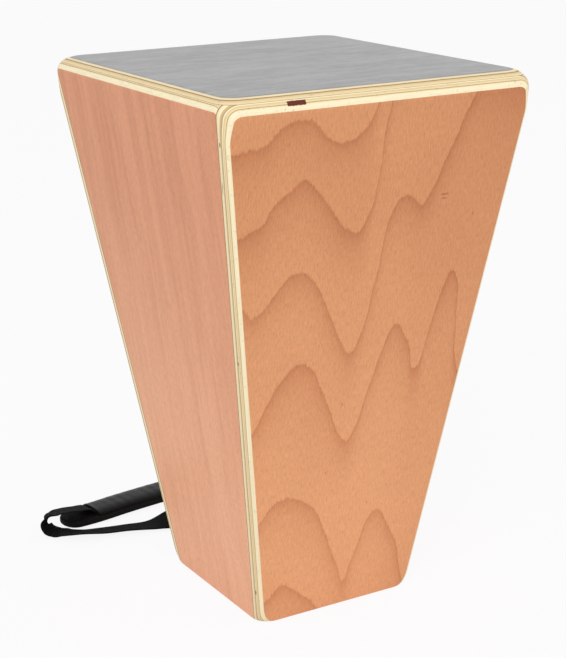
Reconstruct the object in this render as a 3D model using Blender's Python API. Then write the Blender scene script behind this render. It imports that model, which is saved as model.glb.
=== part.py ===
"""Conga cajon: a tapered plywood drum with an open foot, a glued playing plate and a padded strap.

Metres, +Z up. The origin is the centre of the foot, on the floor. The front panel looks along -Y.
"""
import math

import bpy
import numpy as np
from mathutils import Vector

# Outer box, as sharp corners before any edge is rounded
HEIGHT = 0.480
TOP_WIDTH = 0.300
TOP_DEPTH = 0.324
FOOT_WIDTH = 0.157
FOOT_DEPTH = 0.165
WALL = 0.012
PLATE = 0.0046
GLUE_GAP = 0.0003
CUT_SPARE = 0.010

# Rounded edges
UPRIGHT_ROUND = 0.0068
SIDE_TOP_ROUND = 0.0120
FRONT_TOP_ROUND = 0.0145
TOP_CORNER_ROUND = 0.0145
TOP_CORNER_REACH = 0.036
FOOT_CORNER_ROUND = 0.0165
FOOT_CORNER_REACH = 0.015
CORNER_STEPS = 7
ARC_STEPS = 7
REACH_STEPS = 4

# Battens and rails inside
BATTEN = 0.018
BATTEN_FOOT_SETBACK = 0.010
RAIL_THICK = 0.015
RAIL_TALL = 0.020

# Strap hardware, as distances along the bolt from the back panel's outer face
ANCHOR_SPREAD = 0.024
ANCHOR_UP = 0.0588
RIGHT_TAB_SWING = math.radians(60.0)
BOLT_RADIUS = 0.0025
BOLT_HEAD_RADIUS = 0.0047
BOLT_HEAD_TALL = 0.0028
BOLT_HEX_RADIUS = 0.0015
BOLT_RIM_SHARE = 0.3
BOLT_DOME_STEPS = 4
BOLT_REACH = 0.0035
WASHER_RADIUS = 0.0088
WASHER_THICK = 0.0014
WASHER_BEVEL = 0.0006
TEE_FLANGE_RADIUS = 0.0085
TEE_FLANGE_THICK = 0.0013
TEE_BARREL_RADIUS = 0.0034
TEE_BARREL_LONG = 0.0085
BORE_CLEARANCE = 0.0004
ROUND_STEPS = 24

# Strap and pad
WEB_WIDTH = 0.025
WEB_THICK = 0.0018
TAB_END = 0.012
TAB_FLAT = 0.012
TAB_EASE = 0.003
WEB_STEPS = 2
PAD_WIDTH = 0.037
PAD_THICK = 0.0080
PAD_LIFT = 0.0004
PAD_END_ROUND = 0.014
PAD_END_STEPS = 5
PAD_BODY_STEPS = 16
PAD_SECTION_STEPS = 20
PAD_CROWN_POWER = 4.0
PAD_END_START = math.radians(24.0)
PAD_END_THIN = 0.45
SLEEVE_WIDTH = 0.0335
SLEEVE_THICK = 0.0015
SLEEVE_CLEARANCE = 0.0005
SLEEVE_INSET = 0.034
SLEEVE_STEPS = 18
SLEEVE_SECTION_STEPS = 12
SLEEVE_CROWN_POWER = 3.2
LINE_STEPS = 40
HEADING_STEP = 0.0015

# The pad's middle line on the floor, from its left end to its right end
PAD_LINE = [
    (-0.1410, 0.2123), (-0.1320, 0.2118), (-0.1100, 0.2132), (-0.0730, 0.2196),
    (-0.0500, 0.2230), (-0.0300, 0.2256), (0.0060, 0.2289), (0.0290, 0.2302),
]

# The webbing's free runs: x, y, z of its middle, then the azimuth and the rise in degrees of the
# direction that points across its width
LEFT_RUN = [
    (-0.0240, 0.0950, 0.0330, 178, 0), (-0.0235, 0.1065, 0.0200, 170, 6),
    (-0.0250, 0.1225, 0.0145, 150, 24), (-0.0320, 0.1385, 0.0132, 122, 36),
    (-0.0460, 0.1520, 0.0082, 96, 18), (-0.0660, 0.1600, 0.0028, 80, -3),
    (-0.0900, 0.1650, 0.0035, 78, -9), (-0.1140, 0.1705, 0.0038, 78, -10.5),
    (-0.1340, 0.1770, 0.0045, 75, -14), (-0.1470, 0.1860, 0.0036, 66, -9),
    (-0.1540, 0.1940, 0.0026, 56, -2), (-0.1595, 0.2000, 0.0050, 50, 0),
    (-0.1615, 0.2030, 0.0100, 50, 0), (-0.1585, 0.2050, 0.0148, 56, -4),
    (-0.1500, 0.2070, 0.0172, 66, -9), (-0.1390, 0.2090, 0.0170, 78, -11),
    (-0.1250, 0.2110, 0.0150, 88, -10), (-0.1120, 0.2129, 0.0124, 96, -6),
]
RIGHT_RUN = [
    (0.0480, 0.2290, 0.0120, 82, 30), (0.0660, 0.2210, 0.0142, 62, 55),
    (0.0800, 0.2050, 0.0155, 35, 70), (0.0860, 0.1840, 0.0180, 0, 78),
    (0.0820, 0.1620, 0.0230, -22, 78), (0.0720, 0.1410, 0.0300, -22, 76),
    (0.0600, 0.1220, 0.0380, 0, 72), (0.0480, 0.1060, 0.0445, 20, 64),
]
# Where the webbing lies flat on the pad, as distances from the pad's left end
PAD_ROWS_ON_WEB = (0.0335, 0.036, 0.068, 0.092, 0.112, 0.148, 0.164)

# Worked out from the sizes above
SIDE_TAPER = math.atan((TOP_WIDTH - FOOT_WIDTH) / 2 / HEIGHT)
FRONT_TAPER = math.atan((TOP_DEPTH - FOOT_DEPTH) / 2 / HEIGHT)
UNDER_PLATE = HEIGHT - PLATE - GLUE_GAP
INNER = WALL + GLUE_GAP
PANEL_OUT = Vector((0.0, math.cos(FRONT_TAPER), -math.sin(FRONT_TAPER)))
PANEL_DOWN = Vector((0.0, -math.sin(FRONT_TAPER), -math.cos(FRONT_TAPER)))
WEB_LOW = GLUE_GAP
WEB_MIDDLE = WEB_LOW + WEB_THICK / 2
WASHER_LOW = WEB_LOW + WEB_THICK + GLUE_GAP
HEAD_LOW = WASHER_LOW + WASHER_THICK + GLUE_GAP
TEE_FACE = -WALL - GLUE_GAP


def clear_scene():
    """Removes every object, so that a rerun starts empty."""
    for old in list(bpy.data.objects):
        bpy.data.objects.remove(old, do_unlink=True)


def finish(name, colour, roughness, metallic=0.0):
    """A Principled material of one colour."""
    mat = bpy.data.materials.new(name)
    mat.use_nodes = True
    shader = mat.node_tree.nodes["Principled BSDF"]
    shader.inputs["Base Color"].default_value = (*colour, 1.0)
    shader.inputs["Roughness"].default_value = roughness
    shader.inputs["Metallic"].default_value = metallic
    return mat


def add(name, verts, faces, mat=None, smooth_angle=None):
    """A mesh object from points and faces, at the origin."""
    mesh = bpy.data.meshes.new(name)
    mesh.from_pydata([tuple(map(float, v)) for v in verts], [], faces)
    mesh.validate()
    if smooth_angle is not None:
        mesh.shade_smooth()
        mesh.set_sharp_from_angle(angle=smooth_angle)
    if mat is not None:
        mesh.materials.append(mat)
    obj = bpy.data.objects.new(name, mesh)
    bpy.context.scene.collection.objects.link(obj)
    return obj


def guide(obj):
    """Marks a cutter, which isn't a piece of the drum."""
    obj.hide_render = True
    obj.display_type = "WIRE"
    return obj


def boolean(obj, cutter, operation):
    """Adds a live Boolean modifier."""
    mod = obj.modifiers.new(operation.lower(), "BOOLEAN")
    mod.operation = operation
    mod.solver = "EXACT"
    mod.object = cutter


def loft(rings):
    """Quads between closed rings of equal length, with flat caps on the first and the last."""
    count = len(rings[0])
    verts = np.concatenate(rings)
    faces = []
    for level in range(len(rings) - 1):
        low, high = level * count, (level + 1) * count
        for k in range(count):
            nxt = (k + 1) % count
            faces.append((low + k, low + nxt, high + nxt, high + k))
    faces.append(tuple(range(count))[::-1])
    faces.append(tuple(range(len(verts) - count, len(verts))))
    return verts, faces


# Outer shape

def half_size(z, top_half, taper, edge_round):
    """Half the box's width at height z: a straight taper, then the top edge's arc."""
    reach = edge_round / math.tan((math.pi / 2 - taper) / 2)
    centre = HEIGHT - edge_round
    if z <= centre - edge_round * math.sin(taper):
        return top_half - (HEIGHT - z) * math.tan(taper)
    along = min(1.0, (z - centre) / edge_round)
    return top_half - reach + edge_round * math.sqrt(1.0 - along * along)


def corner_radius(z):
    """Plan radius of the four upright edges: even in the middle, larger at both ends."""
    radius = UPRIGHT_ROUND
    above = z - (HEIGHT - TOP_CORNER_REACH)
    if above > 0:
        share = min(1.0, above / (TOP_CORNER_REACH - FRONT_TOP_ROUND / 2))
        radius += (TOP_CORNER_ROUND - UPRIGHT_ROUND) * share * share * (3 - 2 * share)
    if z < FOOT_CORNER_REACH:
        share = 1.0 - z / FOOT_CORNER_REACH
        radius += (FOOT_CORNER_ROUND - UPRIGHT_ROUND) * (1.0 - math.sqrt(1.0 - share * share))
    return radius


def outline(z):
    """The box's outer outline at height z, anticlockwise, with arcs at its corners."""
    half_x = half_size(z, TOP_WIDTH / 2, SIDE_TAPER, SIDE_TOP_ROUND)
    half_y = half_size(z, TOP_DEPTH / 2, FRONT_TAPER, FRONT_TOP_ROUND)
    radius = corner_radius(z)
    angles = np.linspace(0.0, math.pi / 2, CORNER_STEPS + 1)
    points = []
    for turn, (sx, sy) in enumerate(((1, 1), (-1, 1), (-1, -1), (1, -1))):
        at = angles + turn * math.pi / 2
        x = sx * (half_x - radius) + radius * np.cos(at)
        y = sy * (half_y - radius) + radius * np.sin(at)
        points.append(np.stack([x, y, np.full_like(x, z)], 1))
    return np.concatenate(points)


def outer_levels():
    """Heights of the outline's rings: close together where the shape turns."""
    foot = FOOT_CORNER_REACH * (1.0 - np.cos(np.linspace(0, math.pi / 2, REACH_STEPS + 1)))
    lowest_arc = HEIGHT - FRONT_TOP_ROUND * (1.0 + math.sin(FRONT_TAPER))
    neck = np.linspace(HEIGHT - TOP_CORNER_REACH, lowest_arc, REACH_STEPS)
    turn = np.linspace(math.pi / 2 + FRONT_TAPER, 0.0, ARC_STEPS + 1)[1:]
    arc = HEIGHT - FRONT_TOP_ROUND * (1.0 - np.cos(turn))
    return np.concatenate([foot, neck, arc])


def outer_shape():
    """The whole drum's outside as one guide, which every panel is cut to."""
    verts, faces = loft([outline(z) for z in outer_levels()])
    return guide(add("outer_shape", verts, faces))


def wall_x(z, depth):
    """Half width of the plane that lies depth inside the side walls' outer faces."""
    return TOP_WIDTH / 2 - (HEIGHT - z) * math.tan(SIDE_TAPER) - depth / math.cos(SIDE_TAPER)


def wall_y(z, depth):
    """Half depth of the plane that lies depth inside the front and back walls' outer faces."""
    return TOP_DEPTH / 2 - (HEIGHT - z) * math.tan(FRONT_TAPER) - depth / math.cos(FRONT_TAPER)


def wedge(name, x_low, x_high, y_low, y_high, z_low, z_high, mat):
    """A six-sided block whose sides are functions of the height."""
    rings = []
    for z in (z_low, z_high):
        x0, x1, y0, y1 = (side(z) for side in (x_low, x_high, y_low, y_high))
        rings.append(np.array([(x0, y0, z), (x1, y0, z), (x1, y1, z), (x0, y1, z)]))
    verts, faces = loft(rings)
    return add(name, verts, faces, mat)


# Box

def build_panels(outer, plywood, dark_veneer):
    """Four walls and the playing plate, all cut to the same rounded outside."""
    front = wedge("front_panel", lambda z: -wall_x(z, -CUT_SPARE), lambda z: wall_x(z, -CUT_SPARE),
                  lambda z: -wall_y(z, -CUT_SPARE), lambda z: -wall_y(z, WALL),
                  -CUT_SPARE, UNDER_PLATE, plywood)
    back = wedge("back_panel", lambda z: -wall_x(z, -CUT_SPARE), lambda z: wall_x(z, -CUT_SPARE),
                 lambda z: wall_y(z, WALL), lambda z: wall_y(z, -CUT_SPARE),
                 -CUT_SPARE, UNDER_PLATE, plywood)
    left = wedge("left_panel", lambda z: -wall_x(z, -CUT_SPARE), lambda z: -wall_x(z, WALL),
                 lambda z: -wall_y(z, INNER), lambda z: wall_y(z, INNER),
                 -CUT_SPARE, UNDER_PLATE, plywood)
    right = wedge("right_panel", lambda z: wall_x(z, WALL), lambda z: wall_x(z, -CUT_SPARE),
                  lambda z: -wall_y(z, INNER), lambda z: wall_y(z, INNER),
                  -CUT_SPARE, UNDER_PLATE, plywood)
    plate = wedge("top_panel", lambda z: -TOP_WIDTH, lambda z: TOP_WIDTH,
                  lambda z: -TOP_DEPTH, lambda z: TOP_DEPTH,
                  HEIGHT - PLATE, HEIGHT + CUT_SPARE, dark_veneer)
    for panel in (front, back, left, right, plate):
        boolean(panel, outer, "INTERSECT")
    return back


def build_battens(softwood):
    """Square battens up the four inner corners, below the rails."""
    top = UNDER_PLATE - RAIL_TALL - GLUE_GAP
    inside = INNER + BATTEN
    across = {"left": (lambda z: -wall_x(z, INNER), lambda z: -wall_x(z, inside)),
              "right": (lambda z: wall_x(z, inside), lambda z: wall_x(z, INNER))}
    along = {"front": (lambda z: -wall_y(z, INNER), lambda z: -wall_y(z, inside)),
             "back": (lambda z: wall_y(z, inside), lambda z: wall_y(z, INNER))}
    for side, xs in across.items():
        for end, ys in along.items():
            wedge(f"corner_batten_{end}_{side}", *xs, *ys, BATTEN_FOOT_SETBACK, top, softwood)


def build_rails(softwood):
    """Four rails under the plate: front and back run the full width, the sides fit between."""
    low, high = UNDER_PLATE - RAIL_TALL, UNDER_PLATE
    inside = INNER + RAIL_THICK
    between = inside + GLUE_GAP
    wedge("top_rail_front", lambda z: -wall_x(z, INNER), lambda z: wall_x(z, INNER),
          lambda z: -wall_y(z, INNER), lambda z: -wall_y(z, inside), low, high, softwood)
    wedge("top_rail_back", lambda z: -wall_x(z, INNER), lambda z: wall_x(z, INNER),
          lambda z: wall_y(z, inside), lambda z: wall_y(z, INNER), low, high, softwood)
    wedge("top_rail_left", lambda z: -wall_x(z, INNER), lambda z: -wall_x(z, inside),
          lambda z: -wall_y(z, between), lambda z: wall_y(z, between), low, high, softwood)
    wedge("top_rail_right", lambda z: wall_x(z, inside), lambda z: wall_x(z, INNER),
          lambda z: -wall_y(z, between), lambda z: wall_y(z, between), low, high, softwood)


# Strap hardware

def on_back(x, up, lift):
    """A point up the back panel's outer face from its foot, lifted off the face."""
    foot = Vector((x, FOOT_DEPTH / 2, 0.0))
    return foot - PANEL_DOWN * up + PANEL_OUT * lift


def turned(name, profile, mat, parent, bored):
    """Turns a profile of (radius, height) points about local Z; a bored one is a closed ring."""
    angles = np.linspace(0.0, 2 * math.pi, ROUND_STEPS, endpoint=False)
    inner = profile if bored else [p for p in profile if p[0] > 0]
    rings = [np.stack([r * np.cos(angles), r * np.sin(angles), np.full(ROUND_STEPS, h)], 1)
             for r, h in inner]
    count = len(rings)
    faces = []
    for level in range(count if bored else count - 1):
        low, high = level * ROUND_STEPS, (level + 1) % count * ROUND_STEPS
        for k in range(ROUND_STEPS):
            nxt = (k + 1) % ROUND_STEPS
            faces.append((low + k, low + nxt, high + nxt, high + k))
    if not bored:
        faces.append(tuple(range(ROUND_STEPS))[::-1])
        faces.append(tuple(range((count - 1) * ROUND_STEPS, count * ROUND_STEPS)))
    obj = add(name, np.concatenate(rings), faces, mat, math.radians(35))
    obj.parent = parent
    return obj


def build_anchor(side, x, back, steel, black_steel):
    """One bolt through washer, webbing and back panel into its tee nut."""
    place = bpy.data.objects.new(f"strap_anchor_{side}", None)
    bpy.context.scene.collection.objects.link(place)
    place.location = on_back(x, ANCHOR_UP, 0.0)
    place.rotation_mode = "QUATERNION"
    place.rotation_quaternion = PANEL_OUT.to_track_quat("Z", "Y")
    end = TEE_FACE - TEE_FLANGE_THICK - BOLT_REACH
    turn = np.linspace(0.0, 1.0, BOLT_DOME_STEPS)
    dome_radius = BOLT_HEX_RADIUS + (BOLT_HEAD_RADIUS - BOLT_HEX_RADIUS) * (1.0 - turn * turn)
    dome_height = HEAD_LOW + BOLT_HEAD_TALL * (BOLT_RIM_SHARE + (1.0 - BOLT_RIM_SHARE) * turn)
    turned(f"strap_bolt_{side}",
           [(BOLT_RADIUS, end), (BOLT_RADIUS, HEAD_LOW), (BOLT_HEAD_RADIUS, HEAD_LOW),
            *zip(dome_radius, dome_height)],
           black_steel, place, bored=False)
    bore = BOLT_RADIUS + BORE_CLEARANCE
    turned(f"strap_washer_{side}",
           [(bore, WASHER_LOW), (WASHER_RADIUS, WASHER_LOW),
            (WASHER_RADIUS, WASHER_LOW + WASHER_THICK - WASHER_BEVEL),
            (WASHER_RADIUS - WASHER_BEVEL, WASHER_LOW + WASHER_THICK),
            (bore, WASHER_LOW + WASHER_THICK)],
           black_steel, place, bored=True)
    turned(f"tee_nut_{side}",
           [(bore, TEE_FACE - TEE_FLANGE_THICK), (TEE_FLANGE_RADIUS, TEE_FACE - TEE_FLANGE_THICK),
            (TEE_FLANGE_RADIUS, TEE_FACE), (TEE_BARREL_RADIUS, TEE_FACE),
            (TEE_BARREL_RADIUS, TEE_FACE + TEE_BARREL_LONG), (bore, TEE_FACE + TEE_BARREL_LONG)],
           steel, place, bored=True)
    hole = TEE_BARREL_RADIUS + BORE_CLEARANCE
    drill = guide(turned(f"drill_{side}",
                         [(hole, -WALL - CUT_SPARE), (hole, WEB_LOW / 2), (bore, WEB_LOW / 2),
                          (bore, CUT_SPARE)],
                         None, place, bored=False))
    boolean(back, drill, "DIFFERENCE")
    return drill


# Strap

def smooth_line(rows, at):
    """A smooth curve through rows, read at the given row numbers; slopes weigh each side's run."""
    rows = np.asarray(rows, float)
    run = np.concatenate([[0.0], np.cumsum(np.linalg.norm(np.diff(rows[:, :3], axis=0), axis=1))])
    gap = np.diff(run)[:, None]
    slope = np.diff(rows, axis=0) / gap
    turn = np.concatenate([slope[:1],
                           (slope[:-1] * gap[1:] + slope[1:] * gap[:-1]) / (gap[:-1] + gap[1:]),
                           slope[-1:]])
    at = np.asarray(at, float)
    k = np.clip(at.astype(int), 0, len(rows) - 2)
    u = (at - k)[:, None]
    g = gap[k]
    return ((2 * u**3 - 3 * u**2 + 1) * rows[k] + (u**3 - 2 * u**2 + u) * g * turn[k]
            + (3 * u**2 - 2 * u**3) * rows[k + 1] + (u**3 - u**2) * g * turn[k + 1])


def pad_line_at(distance):
    """Points and headings of the pad's middle line at distances from its left end."""
    rows = np.array([(x, y, 0.0) for x, y in PAD_LINE])
    fine = smooth_line(rows, np.linspace(0, len(rows) - 1, LINE_STEPS * len(rows)))
    run = np.concatenate([[0.0], np.cumsum(np.linalg.norm(np.diff(fine, axis=0), axis=1))])
    point = np.stack([np.interp(distance, run, fine[:, k]) for k in range(2)], 1)
    ahead = np.stack([np.interp(distance + HEADING_STEP, run, fine[:, k]) for k in range(2)], 1)
    behind = np.stack([np.interp(distance - HEADING_STEP, run, fine[:, k]) for k in range(2)], 1)
    heading = ahead - behind
    return point, heading / np.linalg.norm(heading, axis=1)[:, None], run[-1]


def tab_rows(x, direction, outward_first):
    """Rows of a strap end, flat on the back panel along direction from the bolt."""
    across = PANEL_OUT.cross(direction).normalized()
    middle = on_back(x, ANCHOR_UP, WEB_MIDDLE)
    rows = [(*(middle + direction * s), *across)
            for s in (-TAB_END, 0.0, TAB_FLAT - TAB_EASE, TAB_FLAT)]
    return rows if outward_first else rows[::-1]


def free_rows(run):
    """Rows of a free run, with the direction across the width worked out from its angles."""
    rows = []
    for x, y, z, azimuth, rise in run:
        a, r = math.radians(azimuth), math.radians(rise)
        rows.append((x, y, z, math.cos(a) * math.cos(r), math.sin(a) * math.cos(r), math.sin(r)))
    return rows


def web_rows():
    """The whole route of the webbing from the left bolt to the right one."""
    on_pad = np.array(PAD_ROWS_ON_WEB)
    point, heading, _ = pad_line_at(on_pad)
    height = PAD_LIFT + PAD_THICK + GLUE_GAP + WEB_THICK / 2
    pad = [(x, y, height, -hy, hx, 0.0) for (x, y), (hx, hy) in zip(point, heading)]
    right_down = (PANEL_DOWN * math.cos(RIGHT_TAB_SWING)
                  + Vector((1, 0, 0)) * math.sin(RIGHT_TAB_SWING))
    left = tab_rows(-ANCHOR_SPREAD, PANEL_DOWN, True)
    right = tab_rows(ANCHOR_SPREAD, right_down, False)
    across_left = np.array(left[0][3:])
    first = free_rows(LEFT_RUN)
    if across_left @ np.array(first[0][3:]) < 0:
        left = [(*row[:3], *(-np.array(row[3:]))) for row in left]
    last = free_rows(RIGHT_RUN)
    if np.array(right[0][3:]) @ np.array(last[-1][3:]) < 0:
        right = [(*row[:3], *(-np.array(row[3:]))) for row in right]
    return left + first + pad + last + right


def web_stations():
    """Middle points, width directions and face directions along the webbing."""
    rows = web_rows()
    line = smooth_line(rows, np.linspace(0, len(rows) - 1, (len(rows) - 1) * WEB_STEPS + 1))
    middle, across = line[:, :3], line[:, 3:]
    run = np.concatenate([[0.0], np.cumsum(np.linalg.norm(np.diff(middle, axis=0), axis=1))])
    ahead = np.gradient(middle, run, axis=0)
    ahead /= np.linalg.norm(ahead, axis=1)[:, None]
    across = across - (across * ahead).sum(1)[:, None] * ahead
    across /= np.linalg.norm(across, axis=1)[:, None]
    return middle, across, np.cross(ahead, across)


def build_webbing(nylon, drills):
    """A flat band carried along the route."""
    middle, across, face = web_stations()
    w, t = WEB_WIDTH / 2, WEB_THICK / 2
    corners = [middle + across * a * w + face * b * t
               for a, b in ((-1, -1), (1, -1), (1, 1), (-1, 1))]
    rings = [np.stack([corner[k] for corner in corners]) for k in range(len(middle))]
    verts, faces = loft(rings)
    band = add("strap_webbing", verts, faces, nylon)
    for drill in drills:
        boolean(band, drill, "DIFFERENCE")
    return band


def pad_top(q, half_width, thick):
    """Height of the pad's crown over its middle plane, for an offset q across it."""
    share = np.clip(1.0 - np.abs(q / half_width) ** PAD_CROWN_POWER, 0.0, 1.0)
    return thick / 2 * share ** (1.0 / PAD_CROWN_POWER)


def build_pad(cloth):
    """A flat cushion with round ends: a squared oval section carried along the pad's line."""
    _, _, long = pad_line_at(np.zeros(1))
    turn = np.linspace(PAD_END_START, math.pi / 2, PAD_END_STEPS)
    start = PAD_END_ROUND * (1.0 - np.cos(turn))
    body = np.linspace(PAD_END_ROUND, long - PAD_END_ROUND, PAD_BODY_STEPS)[1:-1]
    distance = np.concatenate([start, body, long - start[::-1]])
    grow = np.concatenate([np.sin(turn), np.ones(len(body)), np.sin(turn[::-1])])
    point, heading, _ = pad_line_at(distance)
    angle = np.linspace(0.0, 2 * math.pi, PAD_SECTION_STEPS, endpoint=False)
    squared = 2.0 / PAD_CROWN_POWER
    q_unit = np.sign(np.cos(angle)) * np.abs(np.cos(angle)) ** squared
    z_unit = np.sign(np.sin(angle)) * np.abs(np.sin(angle)) ** squared
    rings = []
    for (x, y), (hx, hy), size in zip(point, heading, grow):
        half = PAD_WIDTH / 2 * size
        thick = PAD_THICK * (PAD_END_THIN + (1.0 - PAD_END_THIN) * size)
        q, z = half * q_unit, PAD_LIFT + PAD_THICK / 2 + thick / 2 * z_unit
        rings.append(np.stack([x - hy * q, y + hx * q, z], 1))
    verts, faces = loft(rings)
    return add("pad_base", verts, faces, cloth, math.radians(50))


def build_sleeve(leather):
    """A crowned cover with a channel for the webbing, resting on the pad's crown."""
    _, _, long = pad_line_at(np.zeros(1))
    distance = np.linspace(SLEEVE_INSET, long - SLEEVE_INSET, SLEEVE_STEPS)
    point, heading, _ = pad_line_at(distance)
    half, slot = SLEEVE_WIDTH / 2, WEB_WIDTH / 2 + SLEEVE_CLEARANCE
    middle = PAD_LIFT + PAD_THICK / 2
    roof = PAD_LIFT + PAD_THICK + GLUE_GAP + WEB_THICK + GLUE_GAP
    across = np.linspace(-half, half, SLEEVE_SECTION_STEPS)
    edge = middle + pad_top(half, PAD_WIDTH / 2, PAD_THICK) + GLUE_GAP
    crown = roof + SLEEVE_THICK - edge
    upper = edge + crown * np.sqrt(1.0 - np.abs(across / half) ** SLEEVE_CROWN_POWER)
    foot_q = np.array([half, (half + slot) / 2, slot])
    foot_z = middle + pad_top(foot_q, PAD_WIDTH / 2, PAD_THICK) + GLUE_GAP
    section = list(zip(across[1:-1], upper[1:-1]))
    section += list(zip(foot_q, foot_z)) + [(slot, roof), (-slot, roof)]
    section += list(zip(-foot_q[::-1], foot_z[::-1]))
    section = np.array(section[::-1])
    rings = [np.stack([x - hy * section[:, 0], y + hx * section[:, 0], section[:, 1]], 1)
             for (x, y), (hx, hy) in zip(point, heading)]
    verts, faces = loft(rings)
    return add("pad_sleeve", verts, faces, leather, math.radians(50))


def build():
    """Makes every piece of the drum."""
    clear_scene()
    plywood = finish("plywood", (0.63, 0.33, 0.19), 0.42)
    dark_veneer = finish("dark_veneer", (0.11, 0.11, 0.115), 0.38)
    softwood = finish("softwood", (0.72, 0.55, 0.34), 0.6)
    steel = finish("zinc_steel", (0.62, 0.62, 0.60), 0.35, 1.0)
    black_steel = finish("black_steel", (0.03, 0.03, 0.03), 0.35, 1.0)
    nylon = finish("nylon_webbing", (0.012, 0.012, 0.013), 0.7)
    cloth = finish("pad_cloth", (0.015, 0.015, 0.016), 0.75)
    leather = finish("leatherette", (0.018, 0.018, 0.02), 0.38)
    outer = outer_shape()
    back = build_panels(outer, plywood, dark_veneer)
    build_battens(softwood)
    build_rails(softwood)
    drills = [build_anchor("left", -ANCHOR_SPREAD, back, steel, black_steel),
              build_anchor("right", ANCHOR_SPREAD, back, steel, black_steel)]
    build_webbing(nylon, drills)
    build_pad(cloth)
    build_sleeve(leather)
    bpy.context.view_layer.update()


build()
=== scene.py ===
"""The conga cajon's looks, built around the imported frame.

Metres, +Z up, as the frame is. The front panel looks along -Y and the strap lies behind the drum.
"""
import math

import bmesh
import bpy
import numpy as np
from mathutils import Matrix, Vector


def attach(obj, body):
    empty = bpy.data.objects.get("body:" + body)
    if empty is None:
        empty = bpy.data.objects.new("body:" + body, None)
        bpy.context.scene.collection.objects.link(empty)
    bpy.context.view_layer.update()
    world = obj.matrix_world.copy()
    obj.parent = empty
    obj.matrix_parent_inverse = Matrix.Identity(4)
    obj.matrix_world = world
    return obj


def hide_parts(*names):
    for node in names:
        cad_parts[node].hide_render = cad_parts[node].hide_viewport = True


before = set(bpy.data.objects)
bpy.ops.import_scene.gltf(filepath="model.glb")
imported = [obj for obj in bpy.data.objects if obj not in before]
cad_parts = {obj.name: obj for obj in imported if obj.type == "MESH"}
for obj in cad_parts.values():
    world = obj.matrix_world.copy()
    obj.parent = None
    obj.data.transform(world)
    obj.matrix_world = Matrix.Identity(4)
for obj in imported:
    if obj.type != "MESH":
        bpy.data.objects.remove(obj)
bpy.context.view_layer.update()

# Outer box, as sharp corners before any edge is rounded
HEIGHT = 0.480
TOP_WIDTH = 0.300
TOP_DEPTH = 0.324
FOOT_WIDTH = 0.157
FOOT_DEPTH = 0.165
WALL = 0.012
PLATE = 0.0046
GLUE_GAP = 0.0003
SEAM = 0.00012

# Rounded edges
UPRIGHT_ROUND = 0.0068
SIDE_TOP_ROUND = 0.0120
FRONT_TOP_ROUND = 0.0145
TOP_CORNER_ROUND = 0.0145
TOP_CORNER_REACH = 0.036
FOOT_CORNER_ROUND = 0.0165
FOOT_CORNER_REACH = 0.015
TOP_HOLD = 0.0012

# Small marks: on the front veneer as x and z, and on the front panel's left edge as depth and z,
# each with its two half widths
VENEER_MARKS = [(0.067, 0.382, 0.0045, 0.0010), (0.067, 0.3785, 0.0030, 0.0008),
                (0.099, 0.361, 0.0008, 0.0020), (-0.015, 0.204, 0.0008, 0.0014),
                (-0.025, 0.140, 0.0007, 0.0014), (0.022, 0.100, 0.0008, 0.0016)]
EDGE_SPECKS = [(0.0088, 0.4450, 0.0009, 0.0022), (0.0060, 0.2590, 0.0009, 0.0020),
               (0.0055, 0.0320, 0.0008, 0.0024), (0.0098, 0.4100, 0.0005, 0.0060)]

# Veneers and the small void in the front's top edge, as depths below the face
FACE_VENEER = 0.0005
TOP_VENEER = 0.0006
VENEER_BLUR = 0.00006
VENEER_WANDER = 0.00012
POCKET_X = (-0.0915, -0.0745)
POCKET_DEPTH = (0.0020, 0.0049)
POCKET_UP = (0.455, 0.460)
POCKET_RIM_X = 0.0005
POCKET_RIM_DEPTH = 0.0003

# Heights between which the walls' colour changes from foot to top
COLOUR_RISE = (0.02, 0.46)

# Strap hardware
ANCHOR_SPREAD = 0.024
ANCHOR_UP = 0.0588
RIGHT_TAB_SWING = math.radians(60.0)
BOLT_RADIUS = 0.0025
BOLT_HEAD_RADIUS = 0.0047
BOLT_HEAD_TALL = 0.0028
BOLT_HEX_RADIUS = 0.0015
BOLT_HEX_DEEP = 0.0016
BOLT_REACH = 0.0035
BOLT_TIP_SHARE = 0.8
BOLT_TIP_TALL = 0.0006
BOLT_FLAT_SHARE = 1.15
BOLT_RIM_SHARE = 0.3
BOLT_DOME_STEPS = 9
HEX_CORNER_SHARE = 1.1
HEX_HALF_SIDE = math.pi / 6
WASHER_RADIUS = 0.0088
WASHER_THICK = 0.0014
WASHER_BEVEL = 0.0006
TEE_FLANGE_THICK = 0.0013
BORE_CLEARANCE = 0.0004
ROUND_STEPS = 60

# Strap and pad
WEB_WIDTH = 0.025
WEB_THICK = 0.0018
WEB_SIDE_POWER = 0.28
WEB_FACE_POWER = 0.55
WEAVE_ACROSS = 0.0016
WEAVE_ALONG = 0.0021
CLOTH_WEAVE = 0.0011
TAB_END = 0.012
TAB_FLAT = 0.012
TAB_EASE = 0.003
PAD_WIDTH = 0.037
PAD_THICK = 0.0080
PAD_LIFT = 0.0004
PAD_END_ROUND = 0.014
PAD_END_THIN = 0.45
PAD_CROWN_POWER = 4.0
PAD_END_START = math.radians(3.0)
PAD_RIB_CUT = 0.05
PAD_RIB_PITCH = 0.0026
PAD_RIB_REACH = 0.006
PAD_SEAM_CUT = 0.030
PAD_SEAM_TALL = 0.12
SLEEVE_WIDTH = 0.0335
SLEEVE_THICK = 0.0015
SLEEVE_CLEARANCE = 0.0005
SLEEVE_INSET = 0.034
SLEEVE_CROWN_POWER = 3.2
HEM_INSET = 0.0015
HEM_WIDE = 0.0012
HEM_TALL = 0.00035
PUCKER_TALL = 0.00012
PUCKER_PITCH = 0.011
PUCKER_BEAT = 71.0
LINE_STEPS = 40
HEADING_STEP = 0.0015

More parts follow.
